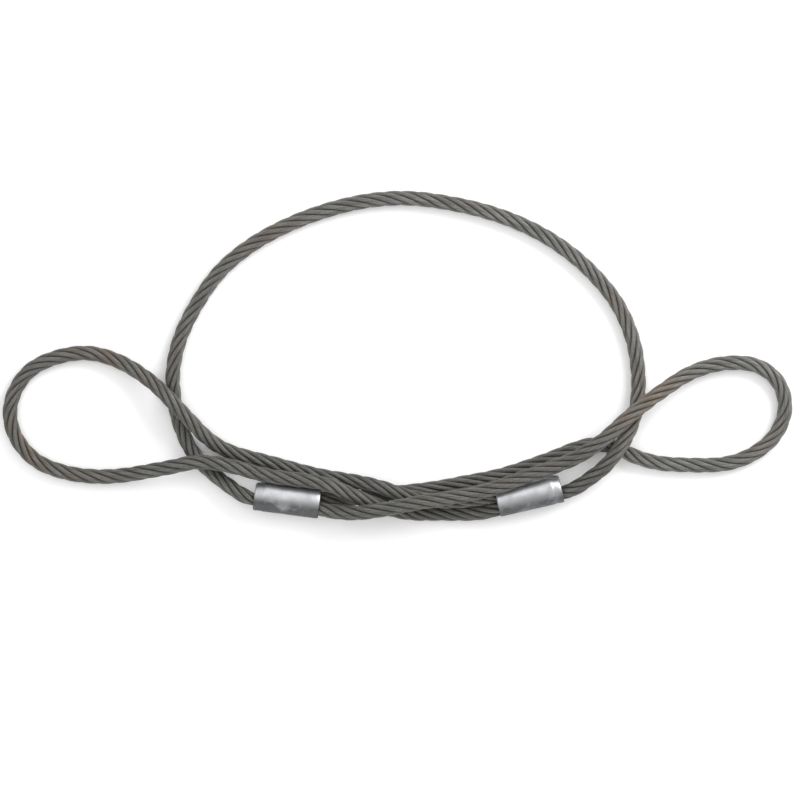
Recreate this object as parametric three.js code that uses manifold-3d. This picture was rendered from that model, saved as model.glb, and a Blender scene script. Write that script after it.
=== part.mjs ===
// Wire rope sling lying coiled on a flat surface: one length of steel wire rope, folded back on itself
// into a soft eye at each end, each eye held by a pressed aluminium ferrule.
// Millimetres, +Z up, resting on z = 0 and centred on X and Y.
import * as THREE from "three";
import { mergeVertices } from "three/addons/utils/BufferGeometryUtils.js";
import Module from "manifold-3d";

const ROPE_D = 8;
const ROPE_R = ROPE_D / 2;
const PRESSED_D = 6.2; // the rope where the ferrule squeezes it

const FERRULE_R = ROPE_D; // a pressed ferrule measures two rope diameters across
const FERRULE_LENGTH = 35;
const FERRULE_SIDES = 24;
const TAPER_LENGTH = 4.5; // the end where one rope leaves narrows and leans a little towards that rope
const TAPER_END_R = 6.9;
const TAPER_LEAN = 0.8;
const EDGE = 0.6;

const GAP = 0.3; // between neighbouring solids
const BORE_D = PRESSED_D + 2 * GAP;
const BORE_OFFSET = (PRESSED_D + GAP) / 2; // each bore from the ferrule's axis
const DEAD_BORE_LENGTH = 30;
const FACE_GAP = 1.6; // rope outside a ferrule to the ferrule's end
const HINGE_GAP = ROPE_R + 0.4; // a fixed stretch stops this far before the point it bends about

const STEEL = new THREE.MeshStandardMaterial({ color: 0x5a5953, roughness: 0.55, metalness: 0.8 });
const ALUMINIUM = new THREE.MeshStandardMaterial({ color: 0xb9bcc2, roughness: 0.35, metalness: 0.9 });

// Each ferrule: the middle of the face where two ropes enter, the compass heading of its axis in plan
// and its roll, in degrees. The roll turns local +Y, the side of the rope that runs right through.
const FERRULES = {
  left: { face: [-41.5, -79], heading: 172.6, roll: 45 },
  right: { face: [53.07, -78.2], heading: 13, roll: 195 },
};

// Rope centrelines. The left eye leaves the right ferrule, crosses the bundle, turns at the far left
// and comes back to the same ferrule.
const LEFT_EYE_ROUTE = [
  [53.97, -82.1, 6.86], [43, -84, 4.9], [32, -84.3, 4.1], [21, -84.2, 4.05], [10, -84.2, 4.4],
  [-1, -82.7, 7.3], [-12, -79, 11.2], [-24, -74.3, 12.7], [-38.5, -68.2, 13.3], [-54, -66, 13.2],
  [-70.5, -63.7, 12.8], [-88, -59, 12.4], [-106, -56.6, 12.4], [-120, -59.3, 11.1], [-132, -61.5, 8.5],
  [-145, -63.7, 5.3], [-160, -64.6, 4.15], [-178, -62.2, 4], [-194, -55.3, 4], [-205, -41, 4],
  [-206.5, -25.5, 4], [-198, -9.5, 4], [-184, -1.5, 4], [-165, 1.4, 4.1], [-148, -3.4, 5.3],
  [-132, -13.3, 8.5], [-124, -20.5, 11.5], [-116.8, -28, 12.6], [-109.8, -35.4, 11.1], [-102, -43.6, 7.4],
  [-91.2, -50.6, 4.6], [-67, -57.5, 4.1], [-42, -64, 4.25], [-30, -66, 5.6], [-18, -68, 9.2],
  [-7, -70.8, 11.9], [5, -74.7, 12.6], [22, -77.5, 11], [38, -76.9, 9.4], [52.17, -74.3, 9],
];
const LEFT_EYE_HINGES = [14, 25];

// The right eye leaves the left ferrule over the top of the bundle and comes back underneath it.
const RIGHT_EYE_ROUTE = [
  [-41.88, -81.91, 10.86], [-33, -83.2, 12.3], [-24, -83.8, 15.4], [-13.5, -82.8, 18.9], [-2, -80.7, 20.2],
  [11, -78.2, 20.5], [24, -76.2, 19.6], [38, -73.8, 18.5], [53, -70, 17.5], [68, -64.5, 16],
  [82, -59.5, 14.9], [94, -54.8, 15], [103.5, -49.1, 16.2], [111.7, -42.9, 17.4], [119.4, -35.7, 17.6],
  [127, -29.3, 16.2], [134.8, -23.2, 13.5], [143.3, -17.3, 10.2], [152, -11.5, 7.2], [164, -6.3, 4.8],
  [178, -3.8, 4.08], [193.2, -5.8, 4], [203.9, -15.1, 4], [206.9, -29, 4], [201.6, -42.4, 4],
  [191, -51.8, 4], [176, -57.6, 4], [152, -58.3, 4], [139, -57.3, 4], [127, -54, 4],
  [116, -48.9, 4], [105, -47.3, 4], [94, -50.1, 4], [82, -54.9, 4], [55, -64, 4],
  [36, -67.8, 4], [20, -70.8, 4], [-12, -74.6, 4.04], [-27, -76.6, 4.1], [-41.12, -76.09, 5],
];
const RIGHT_EYE_HINGES = [18, 27];

// The body of the sling runs from the right ferrule round the large arch to the left ferrule.
const BODY_ROUTE = [
  [87.88, -73.36, 7.09], [96, -70, 8.2], [103, -65, 10], [109.6, -59.9, 11.8], [114.9, -53.8, 12.5],
  [119.8, -46.9, 11.9], [124, -39, 9.4], [126.9, -29.8, 6.8], [128.5, -19.5, 4.6], [128.5, -9.5, 4],
  [125.9, 7.4, 4], [117.9, 26.6, 4], [104.8, 43.3, 4], [88.5, 57.4, 4], [69.9, 68.4, 4],
  [49.7, 76.2, 4], [28, 81.3, 4], [6, 84, 4], [-15, 82.8, 4], [-36, 78.1, 4],
  [-57, 70.4, 4], [-76.5, 60, 4], [-93.9, 45.9, 4], [-107.5, 27, 4], [-116.5, 8, 4],
  [-120, -9.5, 4], [-119.5, -20.5, 4], [-117.7, -31.5, 4], [-114.6, -41.1, 4], [-110.3, -50.2, 4],
  [-104.5, -57.5, 4.1], [-97.8, -63.5, 4.9], [-90.5, -69, 6.8], [-83.9, -73.6, 9.1], [-76.51, -76.77, 10.23],
];
const BODY_HINGES = [9, 25];

const wasm = await Module();
wasm.setup();

function toSolid(geometry) {
  const bare = new THREE.BufferGeometry();
  const loose = geometry.index ? geometry.toNonIndexed() : geometry;
  bare.setAttribute("position", loose.getAttribute("position"));
  const merged = mergeVertices(bare, 1e-4);
  return new wasm.Manifold(new wasm.Mesh({
    numProp: 3,
    vertProperties: new Float32Array(merged.attributes.position.array),
    triVerts: new Uint32Array(merged.index.array),
  }));
}

function toGeometry(solid) {
  const { vertProperties, triVerts } = solid.getMesh();
  const geometry = new THREE.BufferGeometry();
  geometry.setAttribute("position", new THREE.BufferAttribute(new Float32Array(vertProperties), 3));
  geometry.setIndex(new THREE.BufferAttribute(new Uint32Array(triVerts), 1));
  geometry.computeVertexNormals();
  return geometry;
}

// A smooth curve through a route that can be cut into stretches by distance along it.
class Centreline {
  constructor(route) {
    const points = route.map((p) => new THREE.Vector3(...p));
    this.curve = new THREE.CatmullRomCurve3(points, false, "centripetal");
    this.perPoint = 50;
    this.curve.arcLengthDivisions = this.perPoint * (route.length - 1);
    this.lengths = this.curve.getLengths();
  }

  get length() {
    return this.lengths[this.lengths.length - 1];
  }

  distanceTo(index) {
    return this.lengths[this.perPoint * index];
  }

  at(distance) {
    return this.curve.getPointAt(distance / this.length);
  }
}

class Stretch extends THREE.Curve {
  constructor(centreline, from, to) {
    super();
    this.centreline = centreline;
    this.from = from;
    this.to = to;
  }

  getPoint(t, target = new THREE.Vector3()) {
    return target.copy(this.centreline.at(this.from + (this.to - this.from) * t));
  }

  // The frames stay upright, so the same corner of the section points down all the way along.
  computeFrenetFrames(segments) {
    const frames = { tangents: [], normals: [], binormals: [] };
    for (let i = 0; i <= segments; i++) {
      const tangent = this.getTangentAt(i / segments);
      const normal = new THREE.Vector3(-tangent.y, tangent.x, 0).normalize();
      frames.tangents.push(tangent);
      frames.normals.push(normal);
      frames.binormals.push(new THREE.Vector3().crossVectors(tangent, normal));
    }
    return frames;
  }
}

// Ten sides with a corner straight down put a flat facet on each side of the rope.
function ropeSection(sides) {
  const corners = [];
  for (let i = 0; i < sides; i++) {
    const angle = Math.PI / 2 + (2 * Math.PI * i) / sides;
    corners.push(new THREE.Vector2(ROPE_R * Math.cos(angle), ROPE_R * Math.sin(angle)));
  }
  return new THREE.Shape(corners);
}

const ROPE_SECTION = ropeSection(10);

function ropeStretch(centreline, from, to, stepLength) {
  const steps = Math.round((to - from) / stepLength);
  const path = new Stretch(centreline, from, to);
  return new THREE.ExtrudeGeometry(ROPE_SECTION, { extrudePath: path, steps, bevelEnabled: false });
}

// A stretch that swings: both ends are rounded about the points it bends at.
function swingingStretch(centreline, from, to, stepLength) {
  let solid = toSolid(ropeStretch(centreline, from, to, stepLength));
  for (const distance of [from, to]) {
    const ball = new THREE.SphereGeometry(ROPE_R, 12, 8);
    ball.translate(...centreline.at(distance).toArray());
    solid = solid.add(toSolid(ball));
  }
  return toGeometry(solid);
}

// A cylinder along local +X from the ferrule's face, offset across it.
function alongFerrule(diameter, start, end, offset, sides) {
  const geometry = new THREE.CylinderGeometry(diameter / 2, diameter / 2, end - start, sides);
  return geometry.rotateZ(-Math.PI / 2).translate((start + end) / 2, offset, 0);
}

function ferruleGeometry() {
  const barrel = FERRULE_LENGTH - TAPER_LENGTH;
  const profile = [
    [0, 0],
    [FERRULE_R - EDGE, 0],
    [FERRULE_R, EDGE],
    [FERRULE_R, barrel],
    [TAPER_END_R + EDGE, FERRULE_LENGTH - EDGE],
    [TAPER_END_R, FERRULE_LENGTH],
    [0, FERRULE_LENGTH],
  ].map(([radius, along]) => new THREE.Vector2(radius, along));
  // The half-side start puts a flat, not a corner, square to every 15 degree direction.
  const turned = new THREE.LatheGeometry(profile, FERRULE_SIDES, Math.PI / FERRULE_SIDES);
  turned.rotateZ(-Math.PI / 2);
  const position = turned.getAttribute("position");
  for (let i = 0; i < position.count; i++) {
    const past = Math.max(0, position.getX(i) - barrel);
    position.setY(i, position.getY(i) + (TAPER_LEAN * past) / TAPER_LENGTH);
  }
  const through = alongFerrule(BORE_D, -1, FERRULE_LENGTH + 1, BORE_OFFSET, 20);
  const blind = alongFerrule(BORE_D, -1, DEAD_BORE_LENGTH, -BORE_OFFSET, 20);
  return toGeometry(toSolid(turned).subtract(toSolid(through)).subtract(toSolid(blind)));
}

function named(name, geometry, material) {
  const mesh = new THREE.Mesh(geometry, material);
  mesh.name = name;
  return mesh;
}

function ferruleGroup(side, { face, heading, roll }) {
  const group = new THREE.Group();
  const live = alongFerrule(PRESSED_D, 0, FERRULE_LENGTH, BORE_OFFSET, 12);
  const dead = alongFerrule(PRESSED_D, 0, DEAD_BORE_LENGTH - GAP, -BORE_OFFSET, 12);
  group.add(named(side + "_ferrule", ferruleGeometry(), ALUMINIUM));
  group.add(named(side + "_ferrule_live_rope", live, STEEL));
  group.add(named(side + "_ferrule_dead_end", dead, STEEL));
  group.position.set(face[0], face[1], FERRULE_R * Math.cos(Math.PI / FERRULE_SIDES));
  group.rotation.set(THREE.MathUtils.degToRad(roll), 0, THREE.MathUtils.degToRad(heading), "ZYX");
  return group;
}

// One rope between two ferrule faces: a fixed stretch at each end and a swinging one between the hinges.
function ropeGroup(route, hinges, names, stepLengths) {
  const line = new Centreline(route);
  const [first, second] = hinges.map((index) => line.distanceTo(index));
  const start = ropeStretch(line, FACE_GAP, first - HINGE_GAP, stepLengths.fixed);
  const middle = swingingStretch(line, first, second, stepLengths.swinging);
  const end = ropeStretch(line, second + HINGE_GAP, line.length - FACE_GAP, stepLengths.fixed);
  const group = new THREE.Group();
  [start, middle, end].forEach((geometry, i) => group.add(named(names[i], geometry, STEEL)));
  return group;
}

const sling = new THREE.Group();
sling.name = "wire_rope_sling";
for (const [side, placement] of Object.entries(FERRULES)) {
  sling.add(ferruleGroup(side, placement));
}
sling.add(ropeGroup(
  LEFT_EYE_ROUTE,
  LEFT_EYE_HINGES,
  ["left_eye_lower_leg", "left_eye_loop", "left_eye_upper_leg"],
  { fixed: 10, swinging: 12 },
));
sling.add(ropeGroup(
  RIGHT_EYE_ROUTE,
  RIGHT_EYE_HINGES,
  ["right_eye_upper_leg", "right_eye_loop", "right_eye_lower_leg"],
  { fixed: 10, swinging: 12 },
));
sling.add(ropeGroup(
  BODY_ROUTE,
  BODY_HINGES,
  ["body_rope_right_end", "body_rope_arch", "body_rope_left_end"],
  { fixed: 9, swinging: 18 },
));

export default sling;
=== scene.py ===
import math
from collections import namedtuple

import bpy
import numpy as np
from mathutils import Matrix, Vector


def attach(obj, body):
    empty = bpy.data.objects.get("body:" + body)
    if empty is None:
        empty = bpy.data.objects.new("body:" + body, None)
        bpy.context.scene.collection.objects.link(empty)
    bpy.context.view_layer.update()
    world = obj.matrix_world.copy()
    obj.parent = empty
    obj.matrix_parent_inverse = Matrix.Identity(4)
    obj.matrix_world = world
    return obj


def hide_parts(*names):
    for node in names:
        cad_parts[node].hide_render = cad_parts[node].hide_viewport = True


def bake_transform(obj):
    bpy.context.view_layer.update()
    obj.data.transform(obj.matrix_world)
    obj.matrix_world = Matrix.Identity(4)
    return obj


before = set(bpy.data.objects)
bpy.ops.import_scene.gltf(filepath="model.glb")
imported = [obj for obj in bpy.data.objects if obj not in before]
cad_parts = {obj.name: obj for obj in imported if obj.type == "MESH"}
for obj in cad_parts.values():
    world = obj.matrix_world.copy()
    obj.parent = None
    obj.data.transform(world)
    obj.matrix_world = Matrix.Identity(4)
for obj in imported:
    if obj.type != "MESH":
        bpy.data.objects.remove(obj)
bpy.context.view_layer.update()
rng = np.random.default_rng(7)

MM = 0.001

# Rope: six strands of wires round a core. Lengths in metres.
ROPE_D = 8 * MM
STRANDS = 6
STRAND_R = 1.26 * MM
STRAND_HELIX_R = 2.74 * MM
STRAND_LAY = 52 * MM
WIRES = 12
WIRE_LAY = 17 * MM
WIRE_PROFILE = (1.0, 0.964, 0.79, 0.964)  # share of the strand's radius, from one wire's crest to the next
CORE_R = 1.44 * MM
CORE_AROUND = 12
INNER_R = 1.5 * MM  # distance from the rope's axis to the inner side of a strand
FINE_STEP = 0.5 * MM
SMOOTHING = 2.5 * MM
RING_STEP = 1.5 * MM
PRESSED_SCALE = 0.775  # the rope's thickness inside a ferrule
SQUEEZE_LEAD = 3 * MM  # the rope starts to narrow this far before its pressed stretch
SQUEEZE_LENGTH = 7 * MM

# Ferrules, in millimetres along and across their own axis. "face" is the centre of the two-rope end on
# the floor plan, "heading" and "roll" are degrees, and the last entry is how far up its outer side
# the painted shade reaches.
FERRULES = {
    "left": {"face": (-41.5, -79), "heading": 172.6, "roll": 45, "grime": 0.7},
    "right": {"face": (53.07, -78.2), "heading": 13, "roll": 195, "grime": 0.52},
}
FERRULE_LENGTH = 35
FERRULE_R = 8
FERRULE_AXIS_HEIGHT = 7.932
FERRULE_AROUND = 96
BORE_OFFSET = 3.25
MOUTH_OFFSET = 3.75
LIVE_JOIN = 18  # where the eye's rope and the body rope meet inside the ferrule
JOIN_OVERLAP = 0.2
DEAD_END = 29.7
STRAIGHT_LEAD = 7  # an eye's ropes are straight from here inwards, and the body rope from BODY_LEAD
BODY_LEAD = 30
TAPER_START = 30.5
TAPER_LEAN = 0.8
SEAM_HEIGHT = 0.06
SEAM_ANGLE = 0.6
SEAM_WIDTH = 0.035

# Outside of a ferrule, from the two-rope end to the one-rope end: distance along it, radius there.
FERRULE_PROFILE = [
    (0.0, 7.42), (0.12, 7.62), (0.45, 7.86), (1.1, 7.96), (2.5, 7.98), (8, 8.0), (16, 7.99),
    (24, 8.0), (29.4, 7.99), (30.1, 7.93), (30.5, 7.76), (30.9, 7.66), (31.6, 7.64), (33.4, 7.5),
    (34.4, 7.34), (34.8, 7.14), (35, 6.85),
]
# Inside of a ferrule, from the one-rope end back: distance along it, bore radius, offset from the axis.
ONE_ROPE_BORE = [(35, 3.8, 3.3), (34.4, 3.6, 3.25), (32, 3.4, 3.25), (30.4, 3.4, 3.25)]
TWO_ROPE_BORE = [(30, 3.4, 3.25), (8, 3.4, 3.25), (3, 3.5, 3.4), (0, 3.68, 3.62)]

# Rope centrelines between the ferrules, in metres.
LEFT_EYE_ROUTE = [
    (0.0430, -0.0840, 0.0049), (0.0320, -0.0843, 0.0041), (0.0210, -0.0842, 0.00405),
    (0.0100, -0.0842, 0.0044), (-0.0010, -0.0827, 0.0073), (-0.0120, -0.0790, 0.0112),
    (-0.0240, -0.0743, 0.0127), (-0.0385, -0.0682, 0.0133), (-0.0540, -0.0660, 0.0132),
    (-0.0705, -0.0637, 0.0128), (-0.0880, -0.0590, 0.0124), (-0.1060, -0.0566, 0.0124),
    (-0.1200, -0.0593, 0.0111), (-0.1320, -0.0615, 0.0085), (-0.1450, -0.0637, 0.0053),
    (-0.1600, -0.0646, 0.00415), (-0.1780, -0.0622, 0.0040), (-0.1940, -0.0553, 0.0040),
    (-0.2050, -0.0410, 0.0040), (-0.2065, -0.0255, 0.0040), (-0.1980, -0.0095, 0.0040),
    (-0.1840, -0.0015, 0.0040), (-0.1650, 0.0014, 0.0041), (-0.1480, -0.0034, 0.0053),
    (-0.1320, -0.0133, 0.0085), (-0.1240, -0.0205, 0.0115), (-0.1168, -0.0280, 0.0126),
    (-0.1098, -0.0354, 0.0111), (-0.1020, -0.0436, 0.0074), (-0.0912, -0.0506, 0.0046),
    (-0.0670, -0.0575, 0.0041), (-0.0420, -0.0640, 0.00425), (-0.0300, -0.0660, 0.0056),
    (-0.0180, -0.0680, 0.0092), (-0.0070, -0.0708, 0.0119), (0.0050, -0.0747, 0.0126),
    (0.0220, -0.0775, 0.0110), (0.0380, -0.0769, 0.0094),
]
RIGHT_EYE_ROUTE = [
    (-0.0330, -0.0832, 0.0123), (-0.0240, -0.0838, 0.0154), (-0.0135, -0.0828, 0.0189),
    (-0.0020, -0.0807, 0.0202), (0.0110, -0.0782, 0.0205), (0.0240, -0.0762, 0.0196),
    (0.0380, -0.0738, 0.0185), (0.0530, -0.0700, 0.0175), (0.0680, -0.0645, 0.0160),
    (0.0820, -0.0595, 0.0149), (0.0940, -0.0548, 0.0150), (0.1035, -0.0491, 0.0162),
    (0.1117, -0.0429, 0.0174), (0.1194, -0.0357, 0.0176), (0.1270, -0.0293, 0.0162),
    (0.1348, -0.0232, 0.0135), (0.1433, -0.0173, 0.0102), (0.1520, -0.0115, 0.0072),
    (0.1640, -0.0063, 0.0048), (0.1780, -0.0038, 0.00408), (0.1932, -0.0058, 0.0040),
    (0.2039, -0.0151, 0.0040), (0.2069, -0.0290, 0.0040), (0.2016, -0.0424, 0.0040),
    (0.1910, -0.0518, 0.0040), (0.1760, -0.0576, 0.0040), (0.1520, -0.0583, 0.0040),
    (0.1390, -0.0573, 0.0040), (0.1270, -0.0540, 0.0040), (0.1160, -0.0489, 0.0040),
    (0.1050, -0.0473, 0.0040), (0.0940, -0.0501, 0.0040), (0.0820, -0.0549, 0.0040),
    (0.0550, -0.0640, 0.0040), (0.0360, -0.0678, 0.0040), (0.0200, -0.0708, 0.0040),
    (-0.0120, -0.0746, 0.00404), (-0.0270, -0.0766, 0.0041),
]
BODY_ROUTE = [
    (0.0960, -0.0700, 0.0082), (0.1030, -0.0650, 0.0100), (0.1096, -0.0599, 0.0118),
    (0.1149, -0.0538, 0.0125), (0.1198, -0.0469, 0.0119), (0.1240, -0.0390, 0.0094),
    (0.1269, -0.0298, 0.0068), (0.1285, -0.0195, 0.0046), (0.1285, -0.0095, 0.0040),
    (0.1259, 0.0074, 0.0040), (0.1179, 0.0266, 0.0040), (0.1048, 0.0433, 0.0040),
    (0.0885, 0.0574, 0.0040), (0.0699, 0.0684, 0.0040), (0.0497, 0.0762, 0.0040),
    (0.0280, 0.0813, 0.0040), (0.0060, 0.0840, 0.0040), (-0.0150, 0.0828, 0.0040),
    (-0.0360, 0.0781, 0.0040), (-0.0570, 0.0704, 0.0040), (-0.0765, 0.0600, 0.0040),
    (-0.0939, 0.0459, 0.0040), (-0.1075, 0.0270, 0.0040), (-0.1165, 0.0080, 0.0040),
    (-0.1200, -0.0095, 0.0040), (-0.1195, -0.0205, 0.0040), (-0.1177, -0.0315, 0.0040),
    (-0.1146, -0.0411, 0.0040), (-0.1103, -0.0502, 0.0040), (-0.1045, -0.0575, 0.0041),
    (-0.0978, -0.0635, 0.0049), (-0.0905, -0.0690, 0.0068), (-0.0839, -0.0736, 0.0091),
]

# Rust on the rope: place on the floor plan, spread and strength.
RUST_PATCHES = [
    (-0.158, 0.001, 0.010, 0.9), (-0.142, -0.008, 0.007, 0.7), (-0.198, -0.051, 0.011, 0.9),
    (-0.170, -0.064, 0.012, 0.4), (0.138, -0.021, 0.009, 0.8), (0.126, -0.030, 0.007, 0.5),
    (0.200, -0.043, 0.010, 0.3), (0.118, 0.027, 0.012, 0.35), (-0.070, 0.063, 0.014, 0.3),
]

# Painted shade and light on the rope: even shade in the bundle, and outside it a slope that falls to the
# right and to the back, where the rope is painted lighter.
BUNDLE_SHADE = 0.8
BUNDLE_BACK = -0.034
BUNDLE_BACK_FADE = 0.02
BUNDLE_SIDE = 0.132
BUNDLE_SIDE_FADE = 0.03
OPEN_SHADE = 0.36
OPEN_SHADE_SLOPE = (1.1, 1.8)

# Colours, as linear red, green and blue.
STEEL_DARK = (0.095, 0.094, 0.086)
STEEL_LIGHT = (0.19, 0.186, 0.172)
GROOVE_COLOUR = (0.085, 0.083, 0.075)
RUST_COLOUR = (0.2, 0.105, 0.05)
ALUMINIUM_DARK = (0.4, 0.41, 0.425)
ALUMINIUM_LIGHT = (0.58, 0.59, 0.605)
# Painted shade on the ferrules' outer, lower side.
PAINTED_SHADE_COLOUR = (0.075, 0.078, 0.08)
FLOOR_COLOUR = (0.94, 0.94, 0.94)

# Brown, violet and green tints on the steel: noise scale, detail and roughness, and where it shows.
STEEL_TINTS = [
    {"colour": (0.13, 0.104, 0.078), "strength": 0.4, "noise": (22, 4, 0.6), "shows": (0.5, 0.72)},
    {"colour": (0.112, 0.1, 0.125), "strength": 0.3, "noise": (60, 2, 0.5), "shows": (0.55, 0.75)},
    {"colour": (0.104, 0.117, 0.088), "strength": 0.25, "noise": (47, 2, 0.5), "shows": (0.56, 0.76)},
]

# Painted shade darkens the side of a ferrule that faces away from the arch and a little downwards.
SHADE_SIDE = np.array((0, -0.96, -0.28))
SHADE_FADE = 0.95

# The ropes' UV map: each strand is a strip, folded into rows of the unit square.
STRIP_FOLDS = 4
STRIP_GAP = 0.06
STRIP_START = 0.004
STRIP_LENGTH = 0.992
CAP_UV = (0.001, 0.999)

# Straight-down view of the sling lying on the floor.
CAMERA_TARGET = Vector((0.0013, -0.0237, 0.006))
CAMERA_DISTANCE = 2.6
CAMERA_SPAN = 0.4267
SENSOR = 36
FLOOR_SIZE = 6

Tube = namedtuple("Tube", "places crest tone height")


def add_camera():
    data = bpy.data.cameras.new("camera")
    data.sensor_width = SENSOR
    data.lens = SENSOR * CAMERA_DISTANCE / CAMERA_SPAN
    data.clip_end = 20
    camera = bpy.data.objects.new("camera", data)
    bpy.context.scene.collection.objects.link(camera)
    camera.location = CAMERA_TARGET + Vector((0, 0, CAMERA_DISTANCE))
    bpy.context.scene.camera = camera


# Routes


def ferrule_matrix(side):
    """Places a ferrule: its own X runs from the two-rope end to the one-rope end."""
    place = FERRULES[side]
    face = Vector((place["face"][0] * MM, place["face"][1] * MM, FERRULE_AXIS_HEIGHT * MM))
    heading = Matrix.Rotation(math.radians(place["heading"]), 4, "Z")
    roll = Matrix.Rotation(math.radians(place["roll"]), 4, "X")
    return Matrix.Translation(face) @ heading @ roll


def in_ferrule(side, along, across):
    return tuple(ferrule_matrix(side) @ Vector((along * MM, across * MM, 0)))


def eye_rope_points(side, route):
    """An eye's rope: out of the ferrule's through bore, round the eye and back into the blind bore."""
    through = ((LIVE_JOIN - JOIN_OVERLAP, BORE_OFFSET), (STRAIGHT_LEAD, BORE_OFFSET), (0, MOUTH_OFFSET))
    blind = ((0, -MOUTH_OFFSET), (STRAIGHT_LEAD, -BORE_OFFSET), (DEAD_END, -BORE_OFFSET))
    start = [in_ferrule(side, along, across) for along, across in through]
    end = [in_ferrule(side, along, across) for along, across in blind]
    return start + route + end


def body_rope_points(route):
    """The body rope: out of the right ferrule's one-rope end, round the arch and into the left one's."""
    inwards = (FERRULE_LENGTH, BODY_LEAD, LIVE_JOIN + JOIN_OVERLAP)
    start = [in_ferrule("right", along, BORE_OFFSET) for along in reversed(inwards)]
    end = [in_ferrule("left", along, BORE_OFFSET) for along in inwards]
    return start + route + end


def centripetal(points, per_segment=40):
    """A centripetal Catmull-Rom curve through the points, sampled densely."""
    p = np.array(points, float)
    p = np.vstack([2 * p[0] - p[1], p, 2 * p[-1] - p[-2]])
    t = np.linspace(0, 1, per_segment, endpoint=False)[:, None]
    pieces = []
    for a, b, c, d in zip(p[:-3], p[1:-2], p[2:-1], p[3:]):
        k0, k1, k2 = (math.sqrt(np.linalg.norm(v)) for v in (b - a, c - b, d - c))
        out = ((b - a) / k0 - (c - a) / (k0 + k1) + (c - b) / k1) * k1
        into = ((c - b) / k1 - (d - b) / (k1 + k2) + (d - c) / k2) * k1
        cubic = 2 * b - 2 * c + out + into
        square = -3 * b + 3 * c - 2 * out - into
        pieces.append(b + out * t + square * t**2 + cubic * t**3)
    return np.vstack(pieces + [p[-2:-1]])


def arc_lengths(path):
    return np.concatenate([[0], np.cumsum(np.linalg.norm(np.diff(path, axis=0), axis=1))])


def resample(points, step):
    """The same line with its points about one step apart."""
    lengths = arc_lengths(points)
    count = int(round(lengths[-1] / step)) + 1
    at = np.linspace(0, lengths[-1], count)
    return np.column_stack([np.interp(at, lengths, points[:, k]) for k in range(3)])


def smoothed(points, spread, step):
    """Gaussian smoothing along the path that leaves both ends where they are."""
    reach = int(4 * spread / step)
    before = 2 * points[0] - points[reach:0:-1]
    after = 2 * points[-1] - points[-2:-reach - 2:-1]
    padded = np.vstack([before, points, after])
    offsets = np.arange(-reach, reach + 1) * step
    weights = np.exp(-0.5 * (offsets / spread) ** 2)
    weights /= weights.sum()
    return np.column_stack([np.convolve(padded[:, k], weights, "valid") for k in range(3)])


def rope_path(points):
    line = smoothed(resample(centripetal(points), FINE_STEP), SMOOTHING, FINE_STEP)
    return resample(line, RING_STEP)


def unit(v):
    return v / np.linalg.norm(v, axis=-1, keepdims=True)


def transported_frames(path):
    """A normal and a binormal at each point of the path, turning no more than the path makes them."""
    tangent = unit(np.gradient(path, axis=0))
    normal = np.zeros_like(tangent)
    normal[0] = unit(np.cross((0, 0, 1), tangent[0]))
    for i in range(1, len(path)):
        carried = normal[i - 1] - tangent[i] * np.dot(normal[i - 1], tangent[i])
        normal[i] = unit(carried)
    return normal, np.cross(tangent, normal)


# Rope


def smoothstep(x):
    x = np.clip(x, 0, 1)
    return x * x * (3 - 2 * x)


def rust_amount(places):
    """How strongly rust shows at each place, from a few loose patches."""
    amount = np.zeros(len(places))
    for x, y, radius, strength in RUST_PATCHES:
        away = np.hypot(places[:, 0] - x, places[:, 1] - y)
        amount = np.maximum(amount, strength * np.exp(-0.5 * (away / radius) ** 2))
    return amount


def painted_lighting_amount(places):
    """How much painted shade the rope has at each place; where it is low, the rope is painted lighter."""
    x, y = places[:, 0], places[:, 1]
    before_back = smoothstep((BUNDLE_BACK - y) / BUNDLE_BACK_FADE)
    between_sides = smoothstep((BUNDLE_SIDE - np.abs(x)) / BUNDLE_SIDE_FADE)
    outside = OPEN_SHADE - OPEN_SHADE_SLOPE[0] * x - OPEN_SHADE_SLOPE[1] * y
    return np.clip(np.maximum(BUNDLE_SHADE * before_back * between_sides, outside), 0, 1)


def rope_scale(lengths, pressed_start, pressed_end):
    """Full thickness outside the ferrules, eased down to the pressed thickness inside them."""
    depth = np.maximum(pressed_start - lengths, pressed_end - (lengths[-1] - lengths))
    squeeze = smoothstep((depth + SQUEEZE_LEAD) / SQUEEZE_LENGTH)
    return 1 - (1 - PRESSED_SCALE) * squeeze


def strand_tube(path, frames, scale, lengths, index):
    """One strand: a tube that winds round the path, fluted by the wires that wind round it."""
    normal, binormal = frames
    turn = 2 * math.pi * (lengths / STRAND_LAY + index / STRANDS)
    outward = np.cos(turn)[:, None] * normal + np.sin(turn)[:, None] * binormal
    centre = path + (STRAND_HELIX_R * scale)[:, None] * outward
    along = unit(np.gradient(centre, axis=0))
    u = unit(outward - along * np.sum(outward * along, axis=1, keepdims=True))
    v = np.cross(along, u)
    per_wire = len(WIRE_PROFILE)
    around = np.arange(WIRES * per_wire)
    flute = np.tile(np.array(WIRE_PROFILE), WIRES)
    spin = -2 * math.pi * lengths / WIRE_LAY
    angles = (2 * math.pi * around / len(around))[None, :] + spin[:, None]
    radius = STRAND_R * scale[:, None] * flute[None, :]
    sideways = (radius * np.cos(angles))[..., None] * u[:, None]
    upwards = (radius * np.sin(angles))[..., None] * v[:, None]
    places = centre[:, None, :] + (sideways + upwards)
    wire = ((around + per_wire // 2) // per_wire) % WIRES
    crest = (flute - min(WIRE_PROFILE)) / (max(WIRE_PROFILE) - min(WIRE_PROFILE))
    tone = rng.random(WIRES)[wire]
    from_axis = np.linalg.norm(places - path[:, None, :], axis=2) / scale[:, None]
    height = (from_axis - INNER_R) / (ROPE_D / 2 - INNER_R)
    rings = len(path)
    return Tube(places, np.tile(crest, rings), np.tile(tone, rings), height.ravel())


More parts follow.
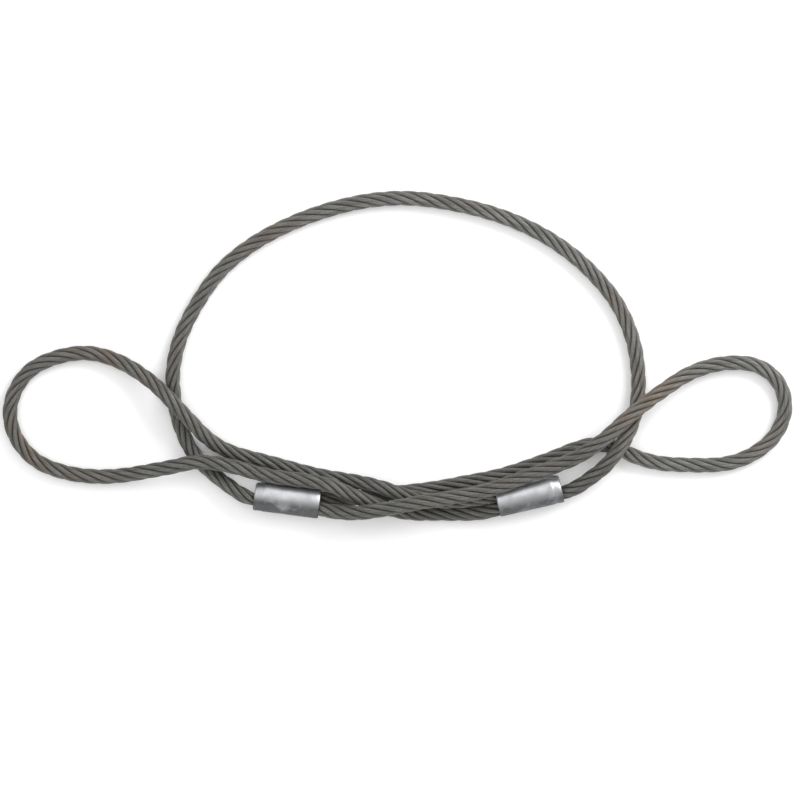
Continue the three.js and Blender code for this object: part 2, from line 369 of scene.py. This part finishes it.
def core_tube(path, frames, scale):
    """The rope's core, a plain tube that only shows as the dark bottom of the grooves."""
    normal, binormal = frames
    angle = 2 * math.pi * np.arange(CORE_AROUND) / CORE_AROUND
    ring = np.cos(angle)[None, :, None] * normal[:, None] + np.sin(angle)[None, :, None] * binormal[:, None]
    places = path[:, None, :] + (CORE_R * scale)[:, None, None] * ring
    flat = np.zeros(len(path) * CORE_AROUND)
    return Tube(places, flat, flat, flat)


def tube_faces(rings, around, first):
    """Quads between neighbouring rings, and one face that closes each end, as vertex numbers."""
    quads = []
    for i in range(rings - 1):
        a = first + i * around
        for j in range(around):
            k = (j + 1) % around
            quads.append((a + j, a + k, a + around + k, a + around + j))
    last = first + (rings - 1) * around
    start_cap = tuple(range(first + around - 1, first - 1, -1))
    end_cap = tuple(range(last, last + around))
    return quads, [start_cap, end_cap]


def strip_uv(rings, around, row, rows):
    """UV corners of a tube's quads, laid out as one folded strip."""
    per_fold = math.ceil((rings - 1) / STRIP_FOLDS)
    uv = []
    for i in range(rings - 1):
        fold, place = divmod(i, per_fold)
        low = (row * STRIP_FOLDS + fold) / rows
        u0 = STRIP_START + STRIP_LENGTH * place / per_fold
        u1 = STRIP_START + STRIP_LENGTH * (place + 1) / per_fold
        for j in range(around):
            v0 = low + (STRIP_GAP + (1 - 2 * STRIP_GAP) * j / around) / rows
            v1 = low + (STRIP_GAP + (1 - 2 * STRIP_GAP) * (j + 1) / around) / rows
            uv += [(u0, v0), (u0, v1), (u1, v1), (u1, v0)]
    return uv


def add_attribute(mesh, name, kind, values):
    attribute = mesh.attributes.new(name, kind, "POINT")
    field = "vector" if kind == "FLOAT_VECTOR" else "value"
    attribute.data.foreach_set(field, np.asarray(values, np.float32).ravel())


def mesh_object(name, vertices, faces, material, uv=None):
    mesh = bpy.data.meshes.new(name)
    mesh.from_pydata(vertices, [], faces)
    if uv is not None:
        layer = mesh.uv_layers.new(name="OFBake")
        layer.data.foreach_set("uv", np.array(uv, np.float32).ravel())
    mesh.materials.append(material)
    mesh.shade_smooth()
    mesh.update()
    obj = bpy.data.objects.new(name, mesh)
    bpy.context.scene.collection.objects.link(obj)
    return obj


def build_rope(name, points, pressed, material):
    """One length of wire rope: six strands round a core, all following the same path."""
    path = rope_path(points)
    lengths = arc_lengths(path)
    frames = transported_frames(path)
    scale = rope_scale(lengths, *pressed)
    tubes = [strand_tube(path, frames, scale, lengths, k) for k in range(STRANDS)]
    tubes.append(core_tube(path, frames, scale))
    quads, caps, uv = [], [], []
    first = 0
    for row, tube in enumerate(tubes):
        rings, around = tube.places.shape[:2]
        new_quads, new_caps = tube_faces(rings, around, first)
        quads += new_quads
        caps += new_caps
        uv += strip_uv(rings, around, row, len(tubes) * STRIP_FOLDS)
        first += rings * around
    for cap in caps:
        uv += [CAP_UV] * len(cap)
    places = np.vstack([tube.places.reshape(-1, 3) for tube in tubes])
    rope = mesh_object(name, places, quads + caps, material, uv)
    add_attribute(rope.data, "wire_crest", "FLOAT", np.concatenate([tube.crest for tube in tubes]))
    add_attribute(rope.data, "wire_tone", "FLOAT", np.concatenate([tube.tone for tube in tubes]))
    add_attribute(rope.data, "rope_height", "FLOAT", np.concatenate([tube.height for tube in tubes]))
    add_attribute(rope.data, "rust", "FLOAT", rust_amount(places))
    add_attribute(rope.data, "grease", "FLOAT", painted_lighting_amount(places))
    add_attribute(rope.data, "rest_place", "FLOAT_VECTOR", places)
    return rope, path


# Ferrules


def lean(along):
    """How far a ferrule's outside leans towards its one rope, at a distance along it."""
    return TAPER_LEAN * min(1, max(0, (along - TAPER_START) / (FERRULE_LENGTH - TAPER_START)))


def pair_outline(angle, offset, radius):
    """Polar radius of two overlapping round bores side by side."""
    c = abs(offset * math.cos(angle))
    s = offset * math.sin(angle)
    return c + math.sqrt(radius**2 - s**2)


def ferrule_rings():
    """Closed loop of rings: outside from the two-rope end to the one-rope end, then back inside."""
    angles = [2 * math.pi * (j + 0.5) / FERRULE_AROUND for j in range(FERRULE_AROUND)]
    rings = []
    for along, radius in FERRULE_PROFILE:
        ring = []
        for a in angles:
            seam = SEAM_HEIGHT * math.exp(-(math.sin(a - SEAM_ANGLE) / SEAM_WIDTH) ** 2)
            r = radius + seam
            ring.append((along, lean(along) + r * math.cos(a), r * math.sin(a)))
        rings.append(ring)
    for along, radius, offset in ONE_ROPE_BORE:
        rings.append([(along, offset + radius * math.cos(a), radius * math.sin(a)) for a in angles])
    for along, radius, offset in TWO_ROPE_BORE:
        ring = []
        for a in angles:
            r = pair_outline(a, offset, radius)
            ring.append((along, r * math.cos(a), r * math.sin(a)))
        rings.append(ring)
    return rings


def ferrule_painted_shade(side, vertices):
    """Painted shade on the outer side of a ferrule, fading out towards its top."""
    place = np.array(ferrule_matrix(side))
    axis = place[:3, 0]
    from_axis = vertices - place[:3, 3]
    from_axis -= np.outer(from_axis @ axis, axis)
    facing = from_axis @ SHADE_SIDE / (FERRULE_R * MM)
    return smoothstep((facing + FERRULES[side]["grime"]) / SHADE_FADE)


def build_ferrule(side, material):
    """A pressed barrel, as quads between each ring and the next, closed into a loop."""
    rings = ferrule_rings()
    place = ferrule_matrix(side)
    vertices = [tuple(place @ (Vector(p) * MM)) for ring in rings for p in ring]
    around = FERRULE_AROUND
    faces = []
    for i in range(len(rings)):
        a = i * around
        b = ((i + 1) % len(rings)) * around
        for j in range(around):
            k = (j + 1) % around
            faces.append((a + j, a + k, b + k, b + j))
    ferrule = mesh_object(side + "_ferrule_pressed", vertices, faces, material)
    add_attribute(ferrule.data, "grime", "FLOAT", ferrule_painted_shade(side, np.array(vertices)))
    return ferrule


# Materials


class Nodes:
    """A material's node tree, with short ways to add and join nodes."""

    def __init__(self, name):
        self.material = bpy.data.materials.new(name)
        self.material.use_nodes = True
        self.tree = self.material.node_tree
        self.shader = self.tree.nodes["Principled BSDF"]

    def add(self, kind, **settings):
        node = self.tree.nodes.new(kind)
        for key, value in settings.items():
            setattr(node, key, value)
        return node

    def link(self, source, target):
        self.tree.links.new(source, target)

    def attribute(self, name, output="Fac"):
        return self.add("ShaderNodeAttribute", attribute_name=name).outputs[output]

    def noise(self, place, scale, detail, roughness=0.5):
        node = self.add("ShaderNodeTexNoise")
        node.inputs["Scale"].default_value = scale
        node.inputs["Detail"].default_value = detail
        node.inputs["Roughness"].default_value = roughness
        self.link(place, node.inputs["Vector"])
        return node.outputs["Fac"]

    def math(self, operation, a, b):
        node = self.add("ShaderNodeMath", operation=operation)
        for socket, value in zip(node.inputs, (a, b)):
            if isinstance(value, (int, float)):
                socket.default_value = value
            else:
                self.link(value, socket)
        return node.outputs[0]

    def ramp(self, value, low, high, to_low=0.0, to_high=1.0):
        node = self.add("ShaderNodeMapRange")
        node.inputs["From Min"].default_value = low
        node.inputs["From Max"].default_value = high
        node.inputs["To Min"].default_value = to_low
        node.inputs["To Max"].default_value = to_high
        self.link(value, node.inputs["Value"])
        return node.outputs["Result"]

    def bump(self, height, strength, distance):
        node = self.add("ShaderNodeBump")
        node.inputs["Strength"].default_value = strength
        node.inputs["Distance"].default_value = distance
        self.link(height, node.inputs["Height"])
        self.link(node.outputs["Normal"], self.shader.inputs["Normal"])

    def mix(self, factor, a, b, blend="MIX"):
        node = self.add("ShaderNodeMix", data_type="RGBA", blend_type=blend)
        colour_inputs = [s for s in node.inputs if s.type == "RGBA"]
        for socket, value in zip([node.inputs[0], *colour_inputs], (factor, a, b)):
            if isinstance(value, tuple):
                socket.default_value = (*value, 1)
            elif isinstance(value, (int, float)):
                socket.default_value = value
            else:
                self.link(value, socket)
        return next(s for s in node.outputs if s.type == "RGBA")


def wire_rope_material():
    """Steel wires with worn crests, dark grooves, faint tints, a little rust, and painted shade and light
    across the sling.
    """
    n = Nodes("wire_rope_steel")
    place = n.attribute("rest_place", "Vector")
    crest = n.attribute("wire_crest")
    tone = n.attribute("wire_tone")
    height = n.attribute("rope_height")
    rust = n.attribute("rust")
    grease = n.attribute("grease")
    exposed = n.math("MULTIPLY", n.ramp(height, 0.2, 1.0), n.ramp(crest, 0.0, 0.9, 0.5, 1.0))
    steel = n.mix(tone, STEEL_DARK, STEEL_LIGHT)
    for tint in STEEL_TINTS:
        cloud = n.ramp(n.noise(place, *tint["noise"]), *tint["shows"])
        steel = n.mix(n.math("MULTIPLY", cloud, tint["strength"]), steel, tint["colour"])
    speckle = n.ramp(n.noise(place, 900, 3, 0.7), 0.35, 0.7, 0.75, 1.2)
    steel = n.mix(1.0, steel, speckle, "MULTIPLY")
    rusted = n.math("MULTIPLY", rust, n.ramp(n.noise(place, 170, 4, 0.65), 0.42, 0.62))
    steel = n.mix(n.math("MULTIPLY", rusted, 0.6), steel, RUST_COLOUR)
    colour = n.mix(exposed, GROOVE_COLOUR, steel)
    # Painted shade in the bundle and towards the left and front; painted light towards the right and back.
    colour = n.mix(1.0, colour, n.ramp(grease, 0, 1, 1.16, 0.74), "MULTIPLY")
    n.link(colour, n.shader.inputs["Base Color"])
    rough = n.ramp(n.noise(place, 250, 3), 0.3, 0.7, 0.4, 0.62)
    n.link(rough, n.shader.inputs["Roughness"])
    n.shader.inputs["Metallic"].default_value = 0.4
    n.bump(n.noise(place, 1400, 3, 0.6), 0.35, 0.06 * MM)
    return n.material


def ferrule_material():
    """Cloudy aluminium, scratched round the barrel, under painted shade on its outer side that scratches
    and smudges break up in places.
    """
    n = Nodes("pressed_aluminium")
    place = n.add("ShaderNodeTexCoord").outputs["Object"]
    squeezed = n.add("ShaderNodeMapping")
    squeezed.inputs["Scale"].default_value = (6, 1, 1)
    n.link(place, squeezed.inputs["Vector"])
    scratch = n.noise(squeezed.outputs["Vector"], 900, 4, 0.7)
    cloud = n.noise(place, 180, 3)
    bare = n.mix(n.ramp(cloud, 0.35, 0.65), ALUMINIUM_DARK, ALUMINIUM_LIGHT)
    # Painted shade on the ferrule's outer side, broken up in places by scratches and smudges.
    shade_amount = n.ramp(n.math("ADD", n.attribute("grime"), n.ramp(cloud, 0.3, 0.7, -0.1, 0.1)), 0.0, 1.0)
    smudges = n.noise(place, 75, 4, 0.65)
    shade_breakup = n.math("ADD", n.ramp(scratch, 0.56, 0.72, 0, 0.5), n.ramp(smudges, 0.5, 0.68, 0, 0.5))
    shade_amount = n.math("MULTIPLY", shade_amount, n.ramp(shade_breakup, 0, 1, 1, 0.35))
    n.link(n.mix(shade_amount, bare, PAINTED_SHADE_COLOUR), n.shader.inputs["Base Color"])
    rough = n.math("ADD", n.ramp(scratch, 0.3, 0.7, 0.3, 0.48), n.math("MULTIPLY", shade_amount, 0.15))
    n.link(rough, n.shader.inputs["Roughness"])
    n.shader.inputs["Metallic"].default_value = 0.85
    n.bump(scratch, 0.25, 0.05 * MM)
    return n.material


def floor_material():
    n = Nodes("floor")
    n.shader.inputs["Base Color"].default_value = (*FLOOR_COLOUR, 1)
    n.shader.inputs["Roughness"].default_value = 0.9
    return n.material


# Stage


def add_floor():
    bpy.ops.mesh.primitive_plane_add(size=FLOOR_SIZE, location=(0, 0, 0))
    floor = bpy.context.object
    floor.name = "floor"
    floor.data.materials.append(floor_material())


def add_light(name, location, size, power):
    """A soft rectangular light that faces the sling. Size is in metres and power in watts."""
    data = bpy.data.lights.new(name, "AREA")
    data.shape = "RECTANGLE"
    data.size, data.size_y = size
    data.energy = power
    light = bpy.data.objects.new(name, data)
    bpy.context.scene.collection.objects.link(light)
    light.location = location
    light.rotation_mode = "QUATERNION"
    light.rotation_quaternion = (-Vector(location)).to_track_quat("-Z", "Y")


def light_stage():
    world = bpy.data.worlds.new("studio")
    world.use_nodes = True
    background = world.node_tree.nodes["Background"]
    background.inputs["Color"].default_value = (1, 1, 1, 1)
    background.inputs["Strength"].default_value = 1.0
    bpy.context.scene.world = world
    bpy.context.scene.view_settings.view_transform = "Standard"
    add_light("key", location=(0.8, 0.75, 0.8), size=(0.9, 0.6), power=13)
    add_light("fill", location=(-0.5, 0.3, 1.2), size=(0.8, 0.8), power=2)
    add_light("front", location=(-0.1, -1.2, 0.4), size=(1.2, 0.5), power=3)


add_camera()
steel = wire_rope_material()
aluminium = ferrule_material()

eye_pressed = (LIVE_JOIN * MM, DEAD_END * MM)
body_pressed = (LIVE_JOIN * MM, LIVE_JOIN * MM)
left_points = eye_rope_points("right", LEFT_EYE_ROUTE)
right_points = eye_rope_points("left", RIGHT_EYE_ROUTE)
left_rope, left_path = build_rope("left_eye_rope", left_points, eye_pressed, steel)
right_rope, right_path = build_rope("right_eye_rope", right_points, eye_pressed, steel)
body_rope, body_path = build_rope("body_rope", body_rope_points(BODY_ROUTE), body_pressed, steel)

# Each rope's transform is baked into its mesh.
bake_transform(left_rope)
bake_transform(right_rope)
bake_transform(body_rope)
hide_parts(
    "left_eye_lower_leg",
    "left_eye_loop",
    "left_eye_upper_leg",
    "right_ferrule_live_rope",
    "right_ferrule_dead_end",
)
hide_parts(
    "right_eye_upper_leg",
    "right_eye_loop",
    "right_eye_lower_leg",
    "left_ferrule_live_rope",
    "left_ferrule_dead_end",
)
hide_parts("body_rope_right_end", "body_rope_arch", "body_rope_left_end")

for side in FERRULES:
    ferrule = build_ferrule(side, aluminium)
    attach(ferrule, "bundle")
    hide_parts(side + "_ferrule")

add_floor()
light_stage()
